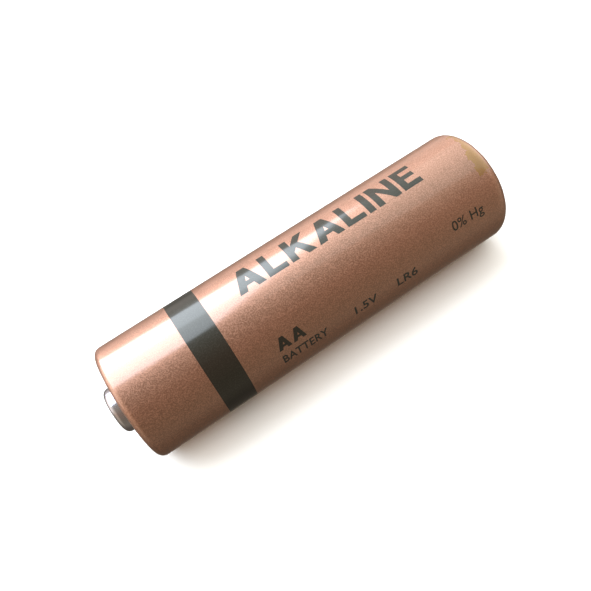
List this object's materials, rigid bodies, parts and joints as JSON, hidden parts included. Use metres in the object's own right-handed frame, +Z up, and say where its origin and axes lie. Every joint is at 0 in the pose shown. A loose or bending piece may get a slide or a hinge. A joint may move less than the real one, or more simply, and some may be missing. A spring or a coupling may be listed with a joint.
{
  "type": "cylindrical alkaline cell",
  "caption": "Round dry cell lying on its side: a film-wrapped steel can with a raised positive terminal, a crimped flat negative cap, and its whole inside.",
  "frame": {"origin": "bottom centre of the bounding box: on the surface that the lying cell rests on, under its axis, half way between its two contact faces", "axes": "+X along the cell's axis, out of the negative end; +Z up; the axis is 7.01 mm above the origin, the label's overlap seam is underneath, and the printed side faces -Y and up"},
  "size_m": [0.0502, 0.014, 0.014],
  "materials": {
    "label_film": "printed metallised shrink film, copper with one black band",
    "plated_steel": "satin nickel plate",
    "cap_steel": "satin nickel plate",
    "washer_steel": "plain rolled spring steel",
    "nylon": "natural moulded nylon",
    "asphalt": "soft black sealant",
    "nail_brass": "drawn brass",
    "cathode_mix": "pressed manganese dioxide and graphite powder",
    "separator_paper": "unwoven paper",
    "zinc_paste": "wet grey powder paste"
  },
  "bodies": {
    "root": {"label_sleeve": "label_film", "steel_can": "plated_steel", "negative_cap": "cap_steel", "support_washer": "washer_steel", "seal_gasket": "nylon", "sealant_bead": "asphalt", "collector_nail": "nail_brass", "cathode_ring_1": "cathode_mix", "cathode_ring_2": "cathode_mix", "cathode_ring_3": "cathode_mix", "cathode_ring_4": "cathode_mix", "separator_cup": "separator_paper", "separator_wrap": "separator_paper", "zinc_gel": "zinc_paste"}
  },
  "joints": []
}
